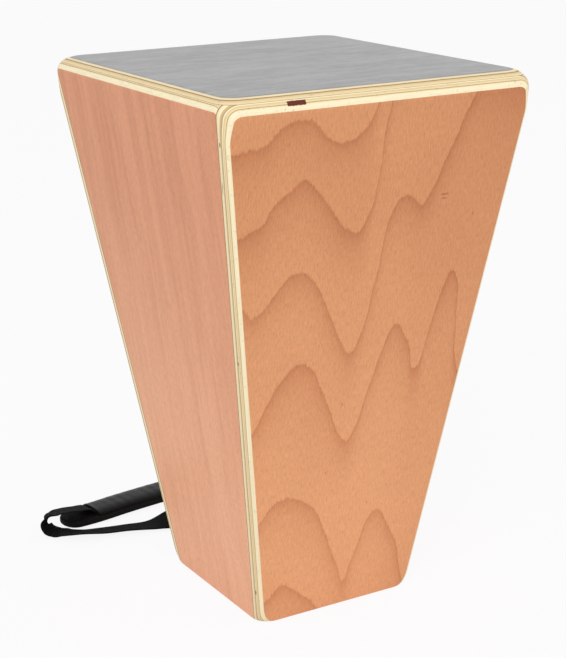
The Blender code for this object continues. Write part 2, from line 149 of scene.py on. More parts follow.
# The pad's middle line on the floor, and the webbing's free runs: x, y, z of its middle, then the
# azimuth and the rise in degrees of the direction that points across its width
PAD_LINE = [
    (-0.1410, 0.2123), (-0.1320, 0.2118), (-0.1100, 0.2132), (-0.0730, 0.2196),
    (-0.0500, 0.2230), (-0.0300, 0.2256), (0.0060, 0.2289), (0.0290, 0.2302),
]
LEFT_RUN = [
    (-0.0240, 0.0950, 0.0330, 178, 0), (-0.0235, 0.1065, 0.0200, 170, 6),
    (-0.0250, 0.1225, 0.0145, 150, 24), (-0.0320, 0.1385, 0.0132, 122, 36),
    (-0.0460, 0.1520, 0.0082, 96, 18), (-0.0660, 0.1600, 0.0028, 80, -3),
    (-0.0900, 0.1650, 0.0035, 78, -9), (-0.1140, 0.1705, 0.0038, 78, -10.5),
    (-0.1340, 0.1770, 0.0045, 75, -14), (-0.1470, 0.1860, 0.0036, 66, -9),
    (-0.1540, 0.1940, 0.0026, 56, -2), (-0.1595, 0.2000, 0.0050, 50, 0),
    (-0.1615, 0.2030, 0.0100, 50, 0), (-0.1585, 0.2050, 0.0148, 56, -4),
    (-0.1500, 0.2070, 0.0172, 66, -9), (-0.1390, 0.2090, 0.0170, 78, -11),
    (-0.1250, 0.2110, 0.0150, 88, -10), (-0.1120, 0.2129, 0.0124, 96, -6),
]
RIGHT_RUN = [
    (0.0480, 0.2290, 0.0120, 82, 30), (0.0660, 0.2210, 0.0142, 62, 55),
    (0.0800, 0.2050, 0.0155, 35, 70), (0.0860, 0.1840, 0.0180, 0, 78),
    (0.0820, 0.1620, 0.0230, -22, 78), (0.0720, 0.1410, 0.0300, -22, 76),
    (0.0600, 0.1220, 0.0380, 0, 72), (0.0480, 0.1060, 0.0445, 20, 64),
]
PAD_ROWS_ON_WEB = (0.0335, 0.036, 0.068, 0.092, 0.112, 0.148, 0.164)

# Growth rings on the front veneer: height over x, both in millimetres, from the top ring down
RINGS = [
    [(-150, 436), (-125, 441), (-108, 444), (-97, 455), (-84, 460), (-68, 458), (-56, 447),
     (-40, 439), (-23, 444), (-10, 462), (-2, 492)],
    [(-150, 358), (-127, 370), (-110, 378), (-98, 395), (-83, 404), (-71, 411), (-60, 403),
     (-48, 388), (-35, 371), (-23, 364), (-14, 362), (-6, 378), (0, 438), (5, 466), (11, 496)],
    [(-150, 318), (-121, 309), (-110, 301), (-102, 305), (-89, 320), (-71, 333), (-58, 328),
     (-48, 313), (-35, 288), (-23, 267), (-12, 253), (-4, 267), (2, 297), (9, 334), (17, 378),
     (27, 387), (38, 382), (44, 378), (52, 386), (65, 417), (82, 455), (98, 480)],
    [(-150, 160), (-102, 197), (-89, 222), (-75, 243), (-62, 251), (-52, 247), (-41, 230),
     (-27, 201), (-18, 180), (-8, 170), (0, 180), (9, 213), (19, 247), (25, 266), (32, 272),
     (42, 259), (50, 247), (57, 226), (63, 232), (67, 263), (77, 301), (86, 313), (92, 301),
     (96, 263), (101, 225), (112, 200)],
    [(-150, 60), (-89, 105), (-81, 118), (-66, 125), (-52, 122), (-35, 109), (-23, 88), (-10, 59),
     (0, 36), (4, 24), (11, 38), (17, 63), (27, 88), (36, 91), (46, 76), (57, 55), (65, 30),
     (74, 2)],
    [(-150, 4), (-80, 24), (-62, 36), (-48, 28), (-31, 13), (-18, 1)],
]
RING_SPAN_X = (-150.0, 150.0)
RING_SPAN_Z = 500.0
RING_FADE = 0.024
RING_LINE_FADE = 0.0045
RING_EDGE = 0.0026

# The face veneer's rounded upper corners, where sanding has gone through it
VENEER_CORNER = 0.0100
VENEER_TOP = 0.4669
VENEER_SIDE = 0.0068
CORNER_BLUR = 0.0001

# Fineness of the meshes, as counts of points unless a length is meant
FOOT_EDGE = 0.0008
FOOT_EDGE_STEPS = 5
FOOT_STEPS = 20
MIDDLE_STEPS = 60
NECK_STEPS = 20
NECK_GAP = 0.0004
TOP_ARC_STEPS = 30
TOP_GAP = 0.0002
CORNER_STEPS = 18
FACE_STEPS = 42
FACE_CROWDING = 1.15
SIDE_STEPS = 60
INNER_STEPS = 14
PLATE_ARC_STEPS = 22
PLATE_CORNER_STEPS = 24
WEB_STEPS = 16
WEB_ROUND = 28
PAD_END_STEPS = 26
PAD_BODY_STEPS = 120
PAD_ROUND = 72
SLEEVE_STEPS = 150
SLEEVE_ACROSS = 60
SLEEVE_FOOT_STEPS = 6
WELD_REACH = 0.000001

# Edges that turn by more than this, in degrees, stay crisp
WOOD_CREASE = 38.0
WEB_CREASE = 60.0
PAD_CREASE = 70.0
SLEEVE_CREASE = 50.0
STEEL_CREASE = 30.0

# Colours of the plies, and each ply's colour over its depth in millimetres
CREAM = (0.96, 0.85, 0.58)
CREAM_SHADE = (0.88, 0.73, 0.44)
TAN = (0.74, 0.54, 0.27)
TAN_DARK = (0.52, 0.35, 0.16)
GLUE = (0.22, 0.125, 0.05)
# Dark red-brown: the specks on the front's left edge, and the painted shade inside the void in the top
# edge
SPECK_AND_POCKET_SHADE = (0.13, 0.022, 0.008)
WALL_PLIES = [
    (0.0, CREAM), (2.30, CREAM), (2.45, CREAM_SHADE), (2.86, TAN), (2.92, GLUE), (3.04, GLUE),
    (3.12, CREAM_SHADE), (4.80, TAN), (4.90, CREAM), (5.60, CREAM), (5.72, GLUE), (5.85, TAN_DARK),
    (7.70, TAN), (7.80, GLUE), (7.95, CREAM), (11.30, CREAM_SHADE), (11.45, GLUE),
]
PLATE_PLIES = [
    (0.0, CREAM_SHADE), (1.55, CREAM_SHADE), (1.70, GLUE), (2.20, TAN_DARK), (2.35, TAN),
    (4.20, CREAM_SHADE), (4.55, TAN_DARK),
]

# Studio
FLOOR_HALF = 6.0
FLOOR_LOW = -0.0002
FLOOR_TONE = (0.80, 0.80, 0.80, 1.0)
FLOOR_GLOW = (1.004, 0.996, 1.004, 1.0)
FLOOR_GLOW_SHARE = 0.90
WORLD_TONE = (1.0, 0.998, 1.0, 1.0)
WORLD_AS_LIGHT = 0.72
WORLD_AS_SEEN = 0.975
SOFTBOXES = [
    ("key", (-1.6, -1.5, 1.9), (0.0, 0.0, 0.25), 1.4, 24.0),
    ("fill", (1.9, -1.4, 1.3), (0.0, 0.0, 0.2), 1.6, 10.0),
]

# Photograph and camera
PHOTO_LONG_SIDE = 658
PHOTO_FOCAL = 1649.18
SENSOR = 36.0
CAMERA_AT = (-0.7324, -1.2284, 0.6723)
CAMERA_RIGHT = (0.8585, -0.5128, -0.0101)
CAMERA_UP = (0.157, 0.244, 0.957)

SIDE_TAPER = math.atan((TOP_WIDTH - FOOT_WIDTH) / 2 / HEIGHT)
FRONT_TAPER = math.atan((TOP_DEPTH - FOOT_DEPTH) / 2 / HEIGHT)
UNDER_PLATE = HEIGHT - PLATE - SEAM
PANEL_OUT = np.array((0.0, math.cos(FRONT_TAPER), -math.sin(FRONT_TAPER)))
PANEL_DOWN = np.array((0.0, -math.sin(FRONT_TAPER), -math.cos(FRONT_TAPER)))
WEB_LOW = GLUE_GAP
WASHER_LOW = WEB_LOW + WEB_THICK + GLUE_GAP
HEAD_LOW = WASHER_LOW + WASHER_THICK + GLUE_GAP
TEE_FACE = -WALL - GLUE_GAP


# Camera

def make_camera():
    """The photograph's view: a long lens at the front left, a little above the drum's top."""
    data = bpy.data.cameras.new("camera")
    data.sensor_width = SENSOR
    data.lens = PHOTO_FOCAL / PHOTO_LONG_SIDE * SENSOR
    right = Vector(CAMERA_RIGHT).normalized()
    up = Vector(CAMERA_UP)
    up = (up - right * up.dot(right)).normalized()
    back = right.cross(up)
    turn = Matrix((right, up, back)).transposed().to_4x4()
    camera = bpy.data.objects.new("camera", data)
    camera.matrix_world = Matrix.Translation(CAMERA_AT) @ turn
    bpy.context.scene.collection.objects.link(camera)
    bpy.context.scene.camera = camera


# Materials

class Number:
    """A value that varies over a surface. Python's operators on it add Math nodes."""

    def __init__(self, paint, socket):
        self.paint, self.socket = paint, socket

    def do(self, operation, *values, **settings):
        """One Math node over the given values."""
        return self.paint.node("Math", {"operation": operation, **settings}, dict(enumerate(values)))

    def __add__(self, other):
        return self.do("ADD", self, other)

    def __sub__(self, other):
        return self.do("SUBTRACT", self, other)

    def __rsub__(self, other):
        return self.do("SUBTRACT", other, self)

    def __mul__(self, other):
        return self.do("MULTIPLY", self, other)

    def __truediv__(self, other):
        return self.do("DIVIDE", self, other)

    def __pow__(self, other):
        return self.do("POWER", self, other)

    def __neg__(self):
        return self.do("MULTIPLY", self, -1.0)

    __radd__ = __add__
    __rmul__ = __mul__

    def size(self):
        """The value without its sign."""
        return self.do("ABSOLUTE", self)

    def clamp(self):
        """The value held between 0 and 1."""
        return self.do("ADD", self, 0.0, use_clamp=True)

    def at_least(self, low):
        """The value, or low where it is smaller."""
        return self.do("MAXIMUM", self, low)

    def wave(self):
        """The sine of the value, in radians."""
        return self.do("SINE", self)

    def exp(self):
        """e to the power of the value."""
        return self.do("EXPONENT", self)

    def step(self, low, high):
        """0 below low, 1 above high, smooth between; falls instead where high is the smaller."""
        if low > high:
            return 1.0 - self.step(high, low)
        return self.paint.node("MapRange", {"interpolation_type": "SMOOTHSTEP"},
                               {"Value": self, "From Min": low, "From Max": high})


class Paint:
    """A Principled material whose varying sockets are worked out from the object's coordinates."""

    def __init__(self, name, roughness=0.5, metallic=0.0, **constants):
        self.material = bpy.data.materials.new(name)
        self.material.use_nodes = True
        self.tree = self.material.node_tree
        self.shader = self.tree.nodes["Principled BSDF"]
        self.shader.inputs["Roughness"].default_value = roughness
        self.shader.inputs["Metallic"].default_value = metallic
        for socket, value in constants.items():
            label = socket.replace("_", " ").title().replace("Ior", "IOR")
            self.shader.inputs[label].default_value = value

    def node(self, kind, settings=None, inputs=None, output=0):
        """One node: its settings first, then the values or links of its sockets."""
        new = self.tree.nodes.new("ShaderNode" + kind)
        for key, value in (settings or {}).items():
            if key == "stops":
                self.set_stops(new.color_ramp, value)
            elif key == "points":
                self.set_points(new.mapping, value)
            else:
                setattr(new, key, value)
        for key, value in (inputs or {}).items():
            if isinstance(value, Number):
                self.tree.links.new(value.socket, new.inputs[key])
            else:
                new.inputs[key].default_value = value
        return Number(self, new.outputs[output])

    @staticmethod
    def set_stops(ramp, stops):
        """Places a colour ramp's stops from (position, colour) pairs."""
        ramp.elements.remove(ramp.elements[1])
        ramp.elements[0].position = stops[0][0]
        ramp.elements[0].color = (*stops[0][1], 1.0)
        for position, colour in stops[1:]:
            ramp.elements.new(position).color = (*colour, 1.0)

    @staticmethod
    def set_points(mapping, points):
        """Places a curve's points, both of whose axes run from 0 to 1."""
        curve = mapping.curves[0]
        curve.points[0].location = points[0]
        curve.points[1].location = points[-1]
        for point in points[1:-1]:
            curve.points.new(*point)
        mapping.update()

    def place(self):
        """The object's x, y and z."""
        where = self.node("TexCoord", output=3)
        return [self.node("SeparateXYZ", inputs={0: where}, output=k) for k in range(3)]

    def cloth(self):
        """The piece's own map: the way across and the way along, in metres."""
        where = self.node("TexCoord", output=2)
        return [self.node("SeparateXYZ", inputs={0: where}, output=k) for k in range(2)]

    def noise(self, x, y, z, detail=3.0, roughness=0.55):
        """Noise from 0 to 1, over coordinates that are already in the pattern's own units."""
        where = self.node("CombineXYZ", inputs={0: x, 1: y, 2: z})
        return self.node("TexNoise", {"noise_dimensions": "3D"},
                         {"Vector": where, "Scale": 1.0, "Detail": detail, "Roughness": roughness})

    def mix(self, first, second, share, blend="MIX"):
        """A colour between two colours."""
        ends = {key: value if isinstance(value, Number) else (*value, 1.0)
                for key, value in ((6, first), (7, second))}
        return self.node("Mix", {"data_type": "RGBA", "blend_type": blend},
                         {0: share, **ends}, output=2)

    def shade(self, colour, amount):
        """A colour times a number."""
        grey = self.node("CombineColor", inputs={0: amount, 1: amount, 2: amount})
        return self.mix(colour, grey, 1.0, "MULTIPLY")

    def finish(self, colour, roughness, height, depth):
        """Links the colour, the roughness and a bump whose height is worth that depth in metres."""
        bump = self.node("Bump", inputs={"Height": height, "Distance": depth, "Strength": 1.0})
        for name, value in (("Base Color", colour), ("Roughness", roughness), ("Normal", bump)):
            self.tree.links.new(value.socket, self.shader.inputs[name])
        return self.material


def plies(paint, depth, x, y, z, stops, thick):
    """Plywood through its thickness: ply colours by depth, with streaks that run along the edge."""
    wander = paint.noise(x * 45, y * 45, z * 45, detail=2.0)
    drifted = depth + (wander - 0.5) * 0.00034
    layers = paint.node("ValToRGB", {"stops": [(d / 1000 / thick, c) for d, c in stops]},
                        {0: drifted / thick})
    streak = paint.noise(x * 70, y * 70, depth * 5200 + z * 70, detail=4.0, roughness=0.65)
    dot = paint.noise(x * 420, y * 420, z * 420, detail=2.0).step(0.60, 0.74)
    return paint.shade(layers, 0.74 + streak * 0.50 - dot * 0.20)


def wall_depth(across, z, top_half, taper):
    """Depth below a tapered wall's outer face."""
    face = top_half - (HEIGHT - z) * math.tan(taper)
    return (face - across.size()) * math.cos(taper)


def worn_corner(x, z):
    """1 past the rounded upper corners of the face veneer, and 0 on the veneer."""
    edge = z * math.tan(SIDE_TAPER) + (FOOT_WIDTH / 2 - VENEER_SIDE - VENEER_CORNER)
    past_x = (x.size() - edge).at_least(0.0)
    past_z = (z - (VENEER_TOP - VENEER_CORNER)).at_least(0.0)
    away = (past_x * past_x + past_z * past_z) ** 0.5
    both = past_x.step(0.0, CORNER_BLUR) * past_z.step(0.0, CORNER_BLUR)
    return away.step(VENEER_CORNER - CORNER_BLUR, VENEER_CORNER + CORNER_BLUR) * both


def ring_tone(paint, x, z):
    """Dark just under each growth ring's line, fading away below it."""
    low, high = RING_SPAN_X
    jitter = paint.noise(x * 60, z * 60, 4.0, detail=3.0)
    jag = paint.noise(x * 620, z * 45, 8.0, detail=2.0, roughness=0.7)
    wide = paint.noise(x * 16, z * 16, 9.0, detail=1.0)
    across = (x * 1000 + (wide - 0.5) * 9.0 - low) / (high - low)
    height = z + (jitter - 0.5) * 0.0065 + (jag - 0.5) * 0.0075
    tone = None
    for ring in RINGS:
        points = [((px - low) / (high - low), pz / RING_SPAN_Z) for px, pz in ring]
        points.append((1.0, points[-1][1]))
        crest = paint.node("FloatCurve", {"points": points}, {"Value": across})
        below = crest * (RING_SPAN_Z / 1000) - height
        under = below.at_least(0.0)
        fade = (under * (-1.0 / RING_FADE)).exp() * 0.62
        line = (under * (-1.0 / RING_LINE_FADE)).exp() * 0.42
        band = (fade + line) * below.step(0.0, RING_EDGE)
        tone = band if tone is None else tone + band
    return tone.clamp()


def beech(paint, u, z, light, dark, tone, seed):
    """Rotary-cut beech: the ring tone, slow colour drift, and short flecks along the grain."""
    drift = paint.noise(u * 9, z * 6, seed, detail=2.0)
    fibre = paint.noise(u * 760, z * 130, seed + 3, detail=3.0, roughness=0.8)
    fleck = paint.noise(u * 1300, z * 260, seed + 7, detail=1.0)
    colour = paint.mix(light, dark, (tone * 0.85 + (drift - 0.5) * 0.50).clamp())
    marks = fleck.step(0.48, 0.74)
    return paint.shade(colour, 1.03 + (fibre - 0.5) * 0.62 - marks * 0.12), fibre, marks


def spots(across, along, marks):
    """1 inside small ovals, each given by its place and its two half widths."""
    total = None
    for place_u, place_v, half_u, half_v in marks:
        du, dv = (across - place_u) / half_u, (along - place_v) / half_v
        spot = (du * du + dv * dv).step(1.3, 0.5)
        total = spot if total is None else total + spot
    return total.clamp()


def veneer_share(paint, x, y, z, depth):
    """1 where the face veneer shows and 0 on the plies below it, with a slightly wavy border."""
    wander = paint.noise(x * 60, y * 60, z * 60, detail=2.0)
    level = depth + (wander - 0.5) * VENEER_WANDER
    return level.step(FACE_VENEER + VENEER_BLUR, FACE_VENEER - VENEER_BLUR)


def wall_roughness(fibre, outside):
    """A satin veneer, and a drier sawn edge."""
    return 0.42 + (fibre - 0.5) * 0.12 + (1.0 - outside) * 0.10


def pocket(paint, x, z, depth):
    """1 inside the small void in the top edge, whose rim is ragged: it places the void's dent, and on
    the front the void's painted shade.
    """
    frayed = paint.noise(x * 700, depth * 700, 5.0, detail=3.0) - 0.5
    ragged_x, ragged_depth = x + frayed * 0.0030, depth + frayed * 0.0012
    (left, right), (near, far) = POCKET_X, POCKET_DEPTH
    return (ragged_x.step(left, left + POCKET_RIM_X) * ragged_x.step(right, right - POCKET_RIM_X)
            * ragged_depth.step(near, near + POCKET_RIM_DEPTH)
            * ragged_depth.step(far, far - POCKET_RIM_DEPTH) * z.step(*POCKET_UP))


def front_wood(name, mirror):
    """The front and back panels' plywood, whose face veneer shows wide cathedral rings. The back
    one has its figure mirrored, no specks, and only the dent of the void.
    """
    paint = Paint(name, specular_ior_level=0.22)
    x, y, z = paint.place()
    depth = wall_depth(y, z, TOP_DEPTH / 2, FRONT_TAPER)
    u, v = (-x * 0.93 + 0.012, z * 0.96 + 0.028) if mirror else (x, z)
    tone = ring_tone(paint, u, v)
    tone = (tone + spots(u, v, VENEER_MARKS) * 0.7 + u.step(0.0, 0.12) * 0.26).clamp()
    rise = z.step(*COLOUR_RISE)
    light = paint.mix((0.830, 0.390, 0.188), (0.690, 0.305, 0.140), rise)
    dark = paint.mix((0.580, 0.205, 0.086), (0.450, 0.150, 0.060), rise)
    veneer, fibre, marks = beech(paint, x, z, light, dark, tone, 11.0 if mirror else 2.0)
    edge = plies(paint, depth, x, y, z, WALL_PLIES, WALL)
    hole = pocket(paint, x, z, depth)
    if not mirror:
        edge = paint.mix(edge, SPECK_AND_POCKET_SHADE, spots(depth, z, EDGE_SPECKS) * (-x).step(0.0, 0.01) * 0.8)
        hole = hole * (-y).step(0.10, 0.11)
        # Inside the void the edge is painted a dark red-brown varied by a noise: painted shade in the
        # hole
        grain = paint.noise(x * 500, depth * 900, 1.0, detail=2.0)
        edge = paint.mix(edge, paint.shade(SPECK_AND_POCKET_SHADE, 0.55 + grain * 0.9), hole)
    outside = veneer_share(paint, x, y, z, depth) * (1.0 - worn_corner(x, z))
    colour = paint.mix(edge, veneer, outside)
    height = fibre * 0.6 - marks * 0.8 - hole * 6.0
    return paint.finish(colour, wall_roughness(fibre, outside), height, 0.00006)


def side_wood(name, seed):
    """The side panels' plywood: a pinker veneer with near-upright wavy streaks."""
    paint = Paint(name, specular_ior_level=0.22)
    x, y, z = paint.place()
    depth = wall_depth(x, z, TOP_WIDTH / 2, SIDE_TAPER)
    bend = paint.noise(y * 7, z * 5, seed, detail=2.0)
    band = paint.noise((y + bend * 0.030) * 52, z * 3.2, seed + 2, detail=4.0, roughness=0.6)
    thin = paint.noise((y + bend * 0.018) * 150, z * 9.0, seed + 5, detail=3.0, roughness=0.6)
    tone = (band.step(0.34, 0.74) * 0.55 + thin.step(0.42, 0.70) * 0.35).clamp()
    rise = z.step(*COLOUR_RISE)
    light = paint.mix((0.905, 0.470, 0.275), (0.735, 0.325, 0.178), rise)
    dark = paint.mix((0.770, 0.345, 0.190), (0.560, 0.215, 0.110), rise)
    veneer, fibre, marks = beech(paint, y, z, light, dark, tone, seed)
    edge = plies(paint, depth, x, y, z, WALL_PLIES, WALL)
    outside = veneer_share(paint, x, y, z, depth)
    colour = paint.mix(edge, veneer, outside)
    height = fibre * 0.6 - marks * 0.8
    return paint.finish(colour, wall_roughness(fibre, outside), height, 0.00006)


def plate_wood():
    """The playing plate: dark stained veneer with streaks along X, over pale and brown plies."""
    paint = Paint("plate_plywood", specular_ior_level=0.45)
    x, y, z = paint.place()
    depth = HEIGHT - z
    wave = paint.noise(x * 9, y * 14, 1.0, detail=2.0)
    streak = paint.noise(x * 14, (y + wave * 0.02) * 85, 2.0, detail=5.0, roughness=0.62)
    cloud = paint.noise(x * 12, y * 22, 6.0, detail=3.0)
    dash = paint.noise(x * 60, (y + wave * 0.02) * 330, 4.0, detail=4.0, roughness=0.7)
    pore = paint.noise(x * 110, y * 900, 3.0, detail=2.0)
    tone = (0.125 + streak.step(0.34, 0.66) * 0.10 + dash.step(0.34, 0.66) * 0.08
            + cloud.step(0.3, 0.7) * 0.06 - pore.step(0.54, 0.68) * 0.05)
    veneer = paint.shade(paint.mix((1.0, 0.985, 0.985), (0.97, 0.985, 1.0), cloud), tone)
    edge = plies(paint, depth, x, y, z, PLATE_PLIES, PLATE)
    outside = depth.step(TOP_VENEER + VENEER_BLUR, TOP_VENEER - VENEER_BLUR)
    colour = paint.mix(edge, veneer, outside)
    roughness = 0.34 + (streak - 0.5) * 0.16 + (1.0 - outside) * 0.16
    return paint.finish(colour, roughness, streak * 0.8 - pore.step(0.60, 0.75) * 0.6, 0.00008)


def softwood():
    """Planed spruce for the battens and rails."""
    paint = Paint("planed_softwood")
    x, y, z = paint.place()
    rings = paint.noise(x * 320, y * 320, z * 5, detail=3.0, roughness=0.6)
    fine = paint.noise(x * 1800, y * 1800, z * 40, detail=2.0)
    colour = paint.mix((0.74, 0.56, 0.33), (0.56, 0.37, 0.18), rings.step(0.42, 0.68))
    colour = paint.shade(colour, 0.94 + fine * 0.12)
    return paint.finish(colour, 0.55 + fine * 0.15, rings * 0.7 + fine * 0.3, 0.00008)


def plated(name, tone, roughness):
    """Steel hardware: fine turning marks and a little wear in the finish."""
    paint = Paint(name, metallic=1.0)
    x, y, z = paint.place()
    cloud = paint.noise(x * 260, y * 260, z * 260, detail=3.0)
    fine = paint.noise(x * 2600, y * 2600, z * 2600, detail=1.0)
    colour = paint.shade(tone, 0.86 + cloud * 0.28)
    return paint.finish(colour, roughness + (cloud - 0.5) * 0.16, fine, 0.00002)


def webbing():
    """Black nylon webbing: ribs across the width and a plain weave, with matt fibres."""
    paint = Paint("nylon_webbing", specular_ior_level=0.10)
    across, along = paint.cloth()
    pitch_u, pitch_v = 2 * math.pi / WEAVE_ACROSS, 2 * math.pi / WEAVE_ALONG
    over = (across * pitch_u).wave() * (along * pitch_v).wave()
    rib = (along * (pitch_v * 2)).wave()
    fluff = paint.noise(across * 2500, along * 2500, 1.0, detail=2.0)
    cloud = paint.noise(across * 60, along * 30, 5.0, detail=2.0)
    height = over * 0.5 + rib * 0.25 + fluff * 0.3
    colour = paint.shade(paint.mix((0.004, 0.004, 0.004), (0.007, 0.007, 0.007), cloud),
                         0.85 + over * 0.25)
    return paint.finish(colour, 0.74 + fluff * 0.16, height, 0.00022)


def leatherette():
    """Glossy black leatherette with a fine pebble grain."""
    paint = Paint("leatherette", specular_ior_level=0.10)
    x, y, z = paint.place()
    where = paint.node("CombineXYZ", inputs={0: x * 900, 1: y * 900, 2: z * 900})
    cell = paint.node("TexVoronoi", {"feature": "SMOOTH_F1"}, {"Vector": where, "Scale": 1.0})
    crease = paint.noise(x * 55, y * 90, z * 60, detail=3.0)
    height = cell * 0.35 + crease * 1.5
    colour = paint.shade(paint.mix((0.003, 0.003, 0.003), (0.006, 0.006, 0.006), crease),
                         0.85 + cell * 0.3)
    return paint.finish(colour, 0.26 + crease * 0.14, height, 0.00018)


def pad_cloth():
    """Matt black cloth over foam, with a plain weave."""
    paint = Paint("pad_cloth", specular_ior_level=0.10)
    x, y, z = paint.place()
    pitch = 2 * math.pi / CLOTH_WEAVE
    weave = (x * pitch).wave() * (y * pitch).wave()
    fluff = paint.noise(x * 1600, y * 1600, z * 1600, detail=2.0)
    crease = paint.noise(x * 70, y * 70, z * 90, detail=3.0)
    colour = paint.shade(paint.mix((0.004, 0.004, 0.004), (0.009, 0.009, 0.009), crease),
                         0.85 + fluff * 0.3)
    return paint.finish(colour, 0.62 + fluff * 0.18, weave * 0.3 + fluff * 0.3 + crease, 0.0003)


# Surfaces

def shell(rings, caps=True):
    """Quads between rings of points (levels, points, 3), with flat caps where they are asked for."""
    levels, count = rings.shape[:2]
    at = np.arange(levels * count).reshape(levels, count)
    beside = np.roll(at, -1, axis=1)
    quads = np.stack([at[:-1], beside[:-1], beside[1:], at[1:]], -1).reshape(-1, 4)
    faces = quads.tolist()
    if caps:
        faces += [at[0, ::-1].tolist(), at[-1].tolist()]
    return rings.reshape(-1, 3), faces


def weld(mesh):
    """Joins points that lie in one place, so that no face is left without an area."""
    joined = bmesh.new()
    joined.from_mesh(mesh)
    bmesh.ops.remove_doubles(joined, verts=joined.verts, dist=WELD_REACH)
    joined.to_mesh(mesh)
    joined.free()


def add_piece(name, verts, faces, material, slot, node, crease=WOOD_CREASE, chart=None):
    """A closed mesh at the origin that rides on the drum and stands for a CAD node."""
    mesh = bpy.data.meshes.new(name)
    mesh.from_pydata(np.asarray(verts, float).tolist(), [], faces)
    if chart is not None:
        loops = np.empty(len(mesh.loops), np.int32)
        mesh.loops.foreach_get("vertex_index", loops)
        layer = mesh.uv_layers.new(name="cloth")
        layer.data.foreach_set("uv", np.asarray(chart, np.float32)[loops].ravel())
    weld(mesh)
    mesh.shade_smooth()
    mesh.set_sharp_from_angle(angle=math.radians(crease))
    mesh.materials.append(material)
    piece = bpy.data.objects.new(name, mesh)
    bpy.context.scene.collection.objects.link(piece)
    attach(piece, "root")
    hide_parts(node)
    return piece


def spread(*parts):
    """Joins runs of numbers (start, end, count) into one rising list without doubles."""
    runs = [np.linspace(a, b, n) for a, b, n in parts]
    return np.unique(np.round(np.concatenate(runs), 9))


def half_size(z, top_half, taper, edge_round):
    """Half the box's width at heights z: a straight taper, then the top edge's arc."""
    reach = edge_round / math.tan((math.pi / 2 - taper) / 2)
    centre = HEIGHT - edge_round
    along = np.clip((z - centre) / edge_round, -1.0, 1.0)
    arc = top_half - reach + edge_round * np.sqrt(1.0 - along * along)
    straight = top_half - (HEIGHT - z) * math.tan(taper)
    return np.where(z <= centre - edge_round * math.sin(taper), straight, arc)


def corner_radius(z):
    """Plan radius of the upright edges: even in the middle, larger at both ends."""
    above = np.clip((z - (HEIGHT - TOP_CORNER_REACH)) / (TOP_CORNER_REACH - FRONT_TOP_ROUND / 2), 0, 1)
    foot = np.clip(1.0 - z / FOOT_CORNER_REACH, 0, 1)
    return (UPRIGHT_ROUND + (TOP_CORNER_ROUND - UPRIGHT_ROUND) * above * above * (3 - 2 * above)
            + (FOOT_CORNER_ROUND - UPRIGHT_ROUND) * (1.0 - np.sqrt(1.0 - foot * foot)))


def half_x(z):
    """Half the box's width along X at heights z."""
    return half_size(z, TOP_WIDTH / 2, SIDE_TAPER, SIDE_TOP_ROUND)


def half_y(z):
    """Half the box's width along Y at heights z."""
    return half_size(z, TOP_DEPTH / 2, FRONT_TAPER, FRONT_TOP_ROUND)


def plane_x(z, depth):
    """How far out the plane at that depth below a side wall's outer face lies, at heights z."""
    return TOP_WIDTH / 2 - (HEIGHT - z) * math.tan(SIDE_TAPER) - depth / math.cos(SIDE_TAPER)


def plane_y(z, depth):
    """How far out the plane at that depth below the front's or back's outer face lies."""
    return TOP_DEPTH / 2 - (HEIGHT - z) * math.tan(FRONT_TAPER) - depth / math.cos(FRONT_TAPER)


def wall_levels():
    """Heights of the walls' rings: close together at the foot, at the neck and on the top arc."""
    turn = np.linspace(math.pi / 2 + FRONT_TAPER, 0.0, TOP_ARC_STEPS)
    arc = HEIGHT - FRONT_TOP_ROUND * (1.0 - np.cos(turn))
    arc = arc[arc < UNDER_PLATE - TOP_GAP]
    neck = HEIGHT - TOP_CORNER_REACH
    low = spread((0.0, FOOT_EDGE, FOOT_EDGE_STEPS), (FOOT_EDGE, FOOT_CORNER_REACH, FOOT_STEPS),
                 (FOOT_CORNER_REACH, neck, MIDDLE_STEPS), (neck, arc[0] - NECK_GAP, NECK_STEPS))
    return np.concatenate([low, arc, [UNDER_PLATE]])


def long_wall(side):
    """The front (-1) or back (1) panel. Each ring starts at a seam with a side panel, turns the
    corner's arc, crosses the face, turns the other corner and comes back along the inner plane.
    """
    z = wall_levels()[:, None]
    r, hx, hy, inner = corner_radius(z), half_x(z), half_y(z), plane_y(z, WALL)
    first = np.arcsin(np.clip((inner - (hy - r)) / r, 0.0, 1.0))
    turn = first + (math.pi / 2 - first) * np.linspace(0, 1, CORNER_STEPS)[None, :]
    arc_x, arc_y = hx - r + r * np.cos(turn), hy - r + r * np.sin(turn)
    seam_x = arc_x[:, :1]
    face = np.linspace(-1, 1, FACE_STEPS)[None, 1:-1]
    face = np.sign(face) * (1.0 - (1.0 - np.abs(face)) ** FACE_CROWDING)
    back = np.linspace(1, -1, INNER_STEPS)[None, 1:-1]
    xs = [-seam_x, -arc_x, face * (hx - r), arc_x[:, ::-1], seam_x, back * seam_x]
    flat = np.ones_like(face) * hy
    ys = [inner, arc_y, flat, arc_y[:, ::-1], inner, np.ones_like(back) * inner]
    x = np.concatenate(xs, 1)
    y = -np.concatenate(ys, 1)
    if side > 0:
        x, y = -x, -y
    return shell(np.stack([x, y, z * np.ones_like(x)], -1))


def short_wall(side):
    """The left (-1) or right (1) panel, which fits between the front and the back one. A ring's
    points are spaced by a sine between the seams. Past the corner's start, the outer side follows
    the corner's circle, and it is flat elsewhere, as the inner side is.
    """
    z = wall_levels()[:, None]
    r, hx, hy, inner = corner_radius(z), half_x(z), half_y(z), plane_x(z, WALL)
    seam = plane_y(z, WALL + SEAM)
    bend = np.sin(np.linspace(-math.pi / 2, math.pi / 2, SIDE_STEPS))[None, :]
    y_out = bend * seam
    past = np.clip(np.abs(y_out) - (hy - r), 0.0, None)
    x_out = hx - r + np.sqrt(np.clip(r * r - past * past, 0.0, None))
    y_in = np.linspace(-1, 1, INNER_STEPS)[None, :] * seam
    x = np.concatenate([-inner * np.ones_like(y_in), -x_out[:, ::-1]], 1)
    y = np.concatenate([y_in, y_out[:, ::-1]], 1)
    if side > 0:
        x, y = -x, -y
    return shell(np.stack([x, y, z * np.ones_like(x)], -1))


